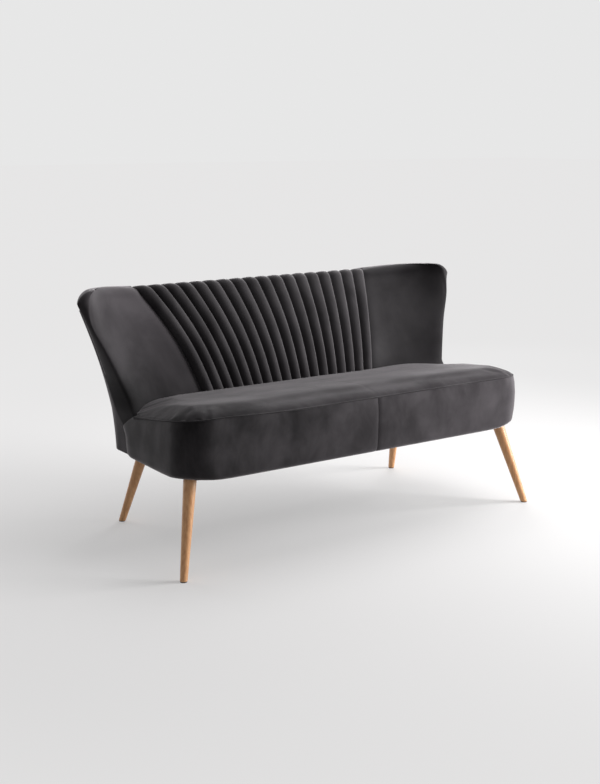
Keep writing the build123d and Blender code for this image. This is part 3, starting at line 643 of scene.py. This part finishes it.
# Seat pad.
# A slab of foam over the springs under one crowned panel of velvet, with a thin folded welt where
# it is sewn to the band. It dips to the rear and is tucked in against the flutes and wings.
front_y = -0.340
corner = 0.092
seam_z = 0.432
seat_slope = 0.106
foam_low = 0.3549
middle_seam_x = 0.022
corner_pull = 0.010
crown_rise = 0.031
crown_run = 0.130
pad_gap = 0.0008
flute_stand = 0.0098


def seam_height(x, y):
    """Height of the seam round the seat. It falls to the rear, and is drawn up at the left corner."""
    drawn_up = corner_pull * math.exp(-(((x + 0.53) / 0.15) ** 2) - ((y - front_y - 0.04) / 0.13) ** 2)
    return seam_z - seat_slope * (y - front_y) + drawn_up


def side_taper(y):
    """How far each side of the seat draws in, from its front corner to the rear."""
    return 0.008 * min(max((y + 0.248) / 0.373, 0), 1)


def nearer(a, b, soft):
    """The smaller of two distances, eased where they are alike."""
    mix = max(soft - abs(a - b), 0) / soft
    return min(a, b) - mix * mix * soft / 4


def crown(x, y):
    """Height of the seat pad's face above the floor."""
    side = half_seat - side_taper(y) - abs(x)
    if abs(x) > half_seat - corner and y < front_y + corner:
        edge = corner - math.hypot(abs(x) - half_seat + corner, y - front_y - corner)
    else:
        edge = nearer(side, y - front_y, 0.05)
    edge = min(max(nearer(edge, 0.140 - y, 0.06), 0), crown_run)
    along = (edge / crown_run) ** (1 / 1.8)
    tucked = max(1 - (half_seat - abs(x)) / 0.14, 0) * max(1 - abs(y - 0.01) / 0.14, 0)
    return seam_height(x, y) + crown_rise * (1 - (1 - along) ** 2.2) * (1 - 0.85 * tucked)


def wing_line_y(x, z):
    """How far back the wing's inside face lies at a place along the seat."""
    line = wing_front(z, 0)
    if x >= line[2][0] - 0.002:
        return line[2][1]
    low = 0.0
    high = 1.0
    for _ in range(24):
        share = (low + high) / 2
        if arc_point(line[0], line[1], line[2], share)[0] < x:
            low = share
        else:
            high = share
    return arc_point(line[0], line[1], line[2], low)[1]


def seat_rear(x, z):
    """Rear edge of the seat pad: against the flutes in the middle, against the wings at the ends."""
    x = abs(x)
    panel_y = base_y - flute_stand * math.cos(low_recline) + (z - base_z) * math.tan(low_recline)
    half = back_face(max(z - base_z, -0.03), 0)[2]
    if x < half:
        return panel_y - pad_gap
    blend = min((x - half) / 0.012, 1)
    behind = wing_line_y(x, z) - 0.0012
    if x > half_seat - 0.016:
        behind = min(behind, toe_y - (z + 0.001 - toe_z) / toe_slope)
    return min(panel_y - pad_gap + flute_stand * blend, behind)


def seat_front(u):
    """Point of the seam round the seat's front, from its left end to its right."""
    arc = 0.16
    side = -1 if u < 0.5 else 1
    s = u if u < 0.5 else 1 - u
    if s < arc:
        turn = math.pi / 2 * (1 - s / arc)
        x = half_seat - corner + corner * math.sin(turn)
        return side * x, front_y + corner - corner * math.cos(turn)
    straight = half_seat - corner
    return side * straight * (0.5 - s) / (0.5 - arc), front_y


def seat_point(u, v, w):
    """Point of the seat pad: u from its left end to its right, v from the front seam to the rear."""
    x, front = seat_front(u)
    if w < -0.5:
        x = x * 0.992
        front = front + 0.005
        z = foam_low
        rear = seat_rear(x, 0.38) - 0.004
    else:
        z = 0.42
        rear = 0.06
        for _ in range(4):
            rear = seat_rear(x, z)
            z = crown(x, rear)
    spread = v - 0.13 * math.sin(math.tau * v)
    y = front + (max(rear, front + 0.05) - front) * spread
    if w > -0.5:
        z = crown(x, y)
    return x, y, z


# Painted light: the seat's tone grows lighter towards the right-hand end, where the window falls on it. Part
# of this is how the pile lies.
seat_velvet = velvet_finish("seat_velvet", 7, (1, 1.6, 1), 0.42, 0, 0, 0.005, 0.052, 0.28)
swell_frames = 20
most_swell = 0.005
held_edge = 0.004
seat_pad = padded_blank("seat_pad", 132, 44)
shape_blank(seat_pad, seat_point, seat_velvet, 55)
held = seat_pad.vertex_groups.new(name="held")
fixed = []
start = [vertex.co.copy() for vertex in seat_pad.data.vertices]
for vertex in seat_pad.data.vertices:
    edge_gap = vertex.co.z - seam_height(vertex.co.x, vertex.co.y)
    rear_gap = seat_rear(vertex.co.x, vertex.co.z) - vertex.co.y
    if edge_gap < held_edge or rear_gap < held_edge:
        fixed.append(vertex.index)
held.add(fixed, 1, "REPLACE")
cloth = seat_pad.modifiers.new("swell", "CLOTH")
cloth.settings.quality = 4
cloth.settings.use_pressure = True
cloth.settings.uniform_pressure_force = 4
cloth.settings.vertex_group_mass = "held"
cloth.settings.effector_weights.gravity = 0
cloth.point_cache.frame_start = 1
cloth.point_cache.frame_end = swell_frames
for step in range(1, swell_frames + 1):
    bpy.context.scene.frame_set(step)
bpy.context.view_layer.objects.active = seat_pad
bpy.ops.object.modifier_apply(modifier="swell")
bpy.context.scene.frame_set(1)
for vertex, first in zip(seat_pad.data.vertices, start):
    moved = vertex.co - first
    if moved.length > most_swell:
        moved.length = most_swell
    vertex.co = first + moved
finer = seat_pad.modifiers.new("finer", "SUBSURF")
finer.levels = 1
finer.render_levels = 1
bpy.context.view_layer.objects.active = seat_pad
bpy.ops.object.modifier_apply(modifier="finer")
for vertex in seat_pad.data.vertices:
    x, y, z = vertex.co
    above = z - seam_height(x, y)
    if above < -0.002:
        continue
    stitched = math.exp(-((x - middle_seam_x) / 0.0025) ** 2) * 0.0012
    pucker = 0.0011 * noise.noise((x * 55, y * 55, 1.7)) * math.exp(-(((above - 0.007) / 0.007) ** 2))
    dimple = 0.0016 * noise.noise((x * 5, y * 7, 0.4)) * min(above / 0.02, 1)
    vertex.co.z = z - stitched + pucker + dimple

# The welt is a fold of the same velvet, run round the seam from wing to wing.
welt_radius = 0.0021
bpy.ops.object.select_all(action="DESELECT")
bpy.ops.curve.primitive_bezier_curve_add(location=(0, 0, 0))
welt = bpy.context.object
welt.name = "welt"
welt.data.splines.clear()
run = welt.data.splines.new("POLY")
ends = [(-half_seat, -0.04), (-half_seat, -0.13), (-half_seat, -0.2)]
round_front = [seat_front(step / 120) for step in range(121)]
path = ends + round_front + [(-x, y) for x, y in reversed(ends)]
run.points.add(len(path) - 1)
for point, (x, y) in zip(run.points, path):
    point.co = (x * 1.0012, y - 0.0007, seam_height(x, y) + 0.0008, 1)
welt.data.dimensions = "3D"
welt.data.bevel_depth = welt_radius
welt.data.bevel_resolution = 2
welt.data.use_fill_caps = True
bpy.ops.object.convert(target="MESH")
welt = bpy.context.object
bpy.ops.object.shade_smooth()
welt.data.materials.clear()
welt.data.materials.append(seat_velvet)
seat_pad.select_set(True)
bpy.context.view_layer.objects.active = seat_pad
bpy.ops.object.join()
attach(seat_pad, "root")
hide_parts("seat_top_cover", "seat_foam")

# Seat band.
# Two lengths of velvet over wadding round the seat's front and sides, sewn together at an upright
# seam near the middle and turned in at the top and under the seat. They end at the outside back.
under_share = 0.1
lip_share = 0.076
under_tuck = 0.028
lip_tuck = 0.030
band_thick = 0.0024
front_run = 0.44
corner_run = 0.24
side_run = 0.27
end_curl = 0.011
end_turn = 0.018
corner_lift = 0.005

# Its profile, from the underside to the top seam: the share of its height, then in millimetres how
# far it stands out at the sides, how far back at the front, and what is added to its corners.
band_sizes = [(0, -3, 7, 18), (0.025, 2, 1.5, 10), (0.07, 5, -2, 4), (0.35, 8, -4.5, 0)]
band_sizes += [(0.65, 8.5, -6, 0), (0.87, 6, -4.5, 0), (1, 2, -1, 0)]


def band_swell(share):
    """What the band's profile gives at a share of its height, in metres."""
    share = min(max(share, 0), 1)
    for low, high in zip(band_sizes, band_sizes[1:]):
        if share <= high[0]:
            mix = (share - low[0]) / (high[0] - low[0])
            return [(a + (b - a) * mix) / 1000 for a, b in zip(low[1:], high[1:])]
    return [a / 1000 for a in band_sizes[-1][1:]]


def band_point(u, v, w, first_x):
    """Point of half the band: u from the middle seam round the corner to its rear end, v from the
    underside to the lip under the seat's seam."""
    u = u**1.25
    share = min(max((v - under_share) / (1 - under_share - lip_share), 0), 1)
    turned_in = max((v - 1 + lip_share) / lip_share, 0)
    tuck = under_tuck * max(1 - v / under_share, 0) + lip_tuck * turned_in
    thick = band_thick if w < -0.5 else 0
    x = first_x
    y = front_y
    for _ in range(4):
        seam = seam_height(x if first_x > 0 else -x, y)
        top = min(seam - 0.0004, toe_z + toe_slope * (toe_y - y) - 0.0008)
        z = clearance + 0.0004 + (top - clearance) * share
        height = (z - clearance) / (seam - clearance)
        spread = [band_swell(height + step) for step in (-0.03, 0, 0, 0.03)]
        wider, back, rounder = [sum(values) / 4 for values in zip(*spread)]
        x_side = half_seat + wider - tuck - thick
        y_front = front_y + back + tuck + thick
        radius = max(corner + rounder - tuck - thick, 0.02)
        if u < front_run:
            x = first_x + (x_side - radius - first_x) * u / front_run
            y = y_front
        elif u < front_run + corner_run:
            turn = math.pi / 2 * (u - front_run) / corner_run
            x = x_side - radius + radius * math.sin(turn)
            y = y_front + radius - radius * math.cos(turn)
        else:
            end = outer_seam(z)[1] - 0.0018
            along = min((u - front_run - corner_run) / side_run, 1)
            y = y_front + radius + (end - y_front - radius) * along
            x = x_side - side_taper(y) - end_curl * max((along - 0.85) / 0.15, 0) ** 2
            last_run = 1 - front_run - corner_run - side_run
            back_in = max((u - front_run - corner_run - side_run) / last_run, 0)
            x = x - end_turn * back_in
            if back_in > 0:
                y = y - thick
    if w < -0.5:
        z = max(z - 0.0022 * turned_in, clearance + 0.0026)
    if u < 0.012:
        y = y + 0.0022 * (1 - u / 0.012) ** 2
    if 0.38 < u < 0.74:
        z = z + corner_lift * math.sin(math.pi * (u - 0.38) / 0.36) ** 2 * (1 - share) ** 3
    pull = 0.0009 * noise.noise((x * 60, y * 60, z * 8)) * math.exp(-(((1 - share) / 0.12) ** 2))
    slack = 0.0011 * noise.noise((x * 8, y * 8, z * 5 + 3))
    if u < front_run + corner_run:
        y = y - (pull + slack) * min(share * 6, 1)
    return x, y, z


# Painted light: the band's tone is the lightest of the velvets and grows lighter towards the right-hand end,
# where the window falls on it. Part of this is how the pile lies.
band_velvet = velvet_finish("band_velvet", 9, (1.4, 1.4, 0.9), 0.55, 0, 0, 0.007, 0.07, 0.9)
for side, turn in (("left", -1), ("right", 1)):
    band = padded_blank("seat_band_cloth_" + side, 116, 40)
    first = turn * middle_seam_x + 0.0003

    def half_band(u, v, w):
        return band_point(u, v, w, first)

    shape_blank(band, for_side(half_band, turn), band_velvet, 60)
    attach(band, "root")
    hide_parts("seat_band_" + side)
    if side == "left":
        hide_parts("seat_wadding")


# Dust cover.
# A thin black non-woven cloth, stapled to the rails over the whole underside of the seat and cut
# round the legs. It keeps dust out of the springs and sags a little.
dust_front = -0.314
dust_rear = 0.174
dust_half = 0.600
dust_rear_half = 0.4917
dust_corner = 0.078
dust_narrows = 0.09
dust_sag = 0.0011
dust_thick = 0.0009


def dust_point(u, v, w):
    """Point of the dust cover: u from left to right, v from front to rear."""
    y = dust_front + (dust_rear - dust_front) * v
    half = dust_half
    if y < dust_front + dust_corner:
        rounded = dust_corner**2 - (dust_front + dust_corner - y) ** 2
        half = dust_half - dust_corner + math.sqrt(max(rounded, 0))
    if y > dust_narrows:
        half = dust_half - (dust_half - dust_rear_half) * (y - dust_narrows) / (dust_rear - dust_narrows)
    x = half * (2 * u - 1)
    uneven = 1 + 0.4 * noise.noise((x * 6, y * 6, 0))
    sag = dust_sag * math.sin(math.pi * u) * math.sin(math.pi * v) * uneven
    return x, y, clearance - 0.0001 - sag - (dust_thick if w > -0.5 else 0)


dust_dark = (0.008, 0.008, 0.008)
dust_light = (0.024, 0.024, 0.024)
dust_cloth = grained_finish("dust_cloth", dust_dark, dust_light, (800, 800, 40), 0.95, 0.4)
dust_sheet = padded_blank("dust_sheet", 60, 30)
shape_blank(dust_sheet, dust_point, dust_cloth, 40)
leg_hole = 0.0225
for x, y in ((0.5785, -0.2682), (0.4961, 0.1482)):
    for turn in (-1, 1):
        bpy.ops.object.select_all(action="DESELECT")
        bpy.ops.mesh.primitive_cylinder_add(
            vertices=24,
            radius=leg_hole,
            depth=0.05,
            location=(x * turn, y, clearance),
        )
        cutter = bpy.context.object
        hole = dust_sheet.modifiers.new("leg_hole", "BOOLEAN")
        hole.operation = "DIFFERENCE"
        hole.object = cutter
        bpy.context.view_layer.objects.active = dust_sheet
        bpy.ops.object.modifier_apply(modifier="leg_hole")
        bpy.data.objects.remove(cutter)
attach(dust_sheet, "root")
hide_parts("dust_cover")


# Stage: a pale studio floor that fades into an equally pale background on every side.
# Far from the sofa its paleness is its own, and close by it takes the sofa's soft shadow.
def looking_rays(nodes, links):
    """One for rays that look, straight or by a mirror or glass, and nought for rays that light."""
    rays = nodes.new("ShaderNodeLightPath")
    mirrored = nodes.new("ShaderNodeMath")
    mirrored.operation = "MAXIMUM"
    shown = nodes.new("ShaderNodeMath")
    shown.operation = "MAXIMUM"
    links.new(rays.outputs["Is Glossy Ray"], mirrored.inputs[0])
    links.new(rays.outputs["Is Transmission Ray"], mirrored.inputs[1])
    links.new(rays.outputs["Is Camera Ray"], shown.inputs[0])
    links.new(mirrored.outputs["Value"], shown.inputs[1])
    return shown.outputs["Value"]


bpy.ops.object.select_all(action="DESELECT")
bpy.ops.mesh.primitive_plane_add(size=80, location=(0, 0, 0))
floor = bpy.context.object
floor.name = "floor"
paper = bpy.data.materials.new("studio_paper")
paper.use_nodes = True
nodes = paper.node_tree.nodes
links = paper.node_tree.links
paper_shader = nodes["Principled BSDF"]
paper_shader.inputs["Roughness"].default_value = 0.95
paper_shader.inputs["Specular IOR Level"].default_value = 0
paper_shader.inputs["Emission Color"].default_value = (1, 0.993, 0.993, 1)
where = nodes.new("ShaderNodeTexCoord")
away = nodes.new("ShaderNodeVectorMath")
away.operation = "LENGTH"
fade = nodes.new("ShaderNodeMapRange")
fade.interpolation_type = "SMOOTHSTEP"
fade.inputs["From Min"].default_value = 0.4
fade.inputs["From Max"].default_value = 2.7
shade = nodes.new("ShaderNodeMix")
shade.data_type = "RGBA"
shade.inputs["A"].default_value = (0.52, 0.514, 0.514, 1)
shade.inputs["B"].default_value = (0.02, 0.02, 0.02, 1)
paleness = nodes.new("ShaderNodeMapRange")
paleness.inputs["To Min"].default_value = 0.28
paleness.inputs["To Max"].default_value = 0.79
glow = nodes.new("ShaderNodeMath")
glow.operation = "MULTIPLY"
links.new(where.outputs["Object"], away.inputs[0])
links.new(away.outputs["Value"], fade.inputs["Value"])
links.new(fade.outputs["Result"], shade.inputs["Factor"])
links.new(shade.outputs["Result"], paper_shader.inputs["Base Color"])
links.new(fade.outputs["Result"], paleness.inputs["Value"])
links.new(looking_rays(nodes, links), glow.inputs[0])
links.new(paleness.outputs["Result"], glow.inputs[1])
links.new(glow.outputs["Value"], paper_shader.inputs["Emission Strength"])
floor.data.materials.append(paper)

# Light: an even white room, a soft box overhead, a tall soft window on the right and two weak
# lamps behind the sofa that pick out its edges.
# The room looks as pale as the floor, and gives the sofa only a little light.
world = bpy.data.worlds.new("studio")
bpy.context.scene.world = world
world.use_nodes = True
nodes = world.node_tree.nodes
links = world.node_tree.links
room = nodes.new("ShaderNodeMapRange")
room.inputs["To Min"].default_value = 0.24
room.inputs["To Max"].default_value = 0.80
links.new(looking_rays(nodes, links), room.inputs["Value"])
nodes["Background"].inputs["Color"].default_value = (1, 1, 1, 1)
links.new(room.outputs["Result"], nodes["Background"].inputs["Strength"])
lamps = (
    ("overhead", (0.9, 0.4, 2.7), (0.2, 0, 0.4), 2.4, 2.0, 42),
    ("bounce", (-1.3, 2.7, 0.9), (-0.4, 0, 0.35), 1.6, 1.6, 20),
    ("rim", (2.3, 1.9, 1.3), (0.4, 0, 0.4), 1.2, 1.6, 32),
    ("window", (2.8, -1.7, 1.2), (0.1, -0.1, 0.45), 1.5, 1.7, 155),
)
for name, place, aim, wide, tall, power in lamps:
    bpy.ops.object.light_add(type="AREA", location=place)
    lamp = bpy.context.object
    lamp.name = name
    lamp.data.shape = "RECTANGLE"
    lamp.data.size = wide
    lamp.data.size_y = tall
    lamp.data.energy = power
    lamp.visible_camera = False
    lamp.rotation_euler = (Vector(aim) - lamp.location).to_track_quat("-Z", "Y").to_euler()

# Camera at the photograph's viewing angle.
bpy.ops.object.camera_add(location=(-2.15453, -3.0832, 1.2))
camera = bpy.context.object
camera.name = "camera"
camera.rotation_euler = (math.radians(77.86), 0, math.radians(-34.64))
camera.data.sensor_width = 36
camera.data.lens = 55.51
bpy.context.scene.camera = camera
bpy.context.scene.view_settings.view_transform = "Standard"
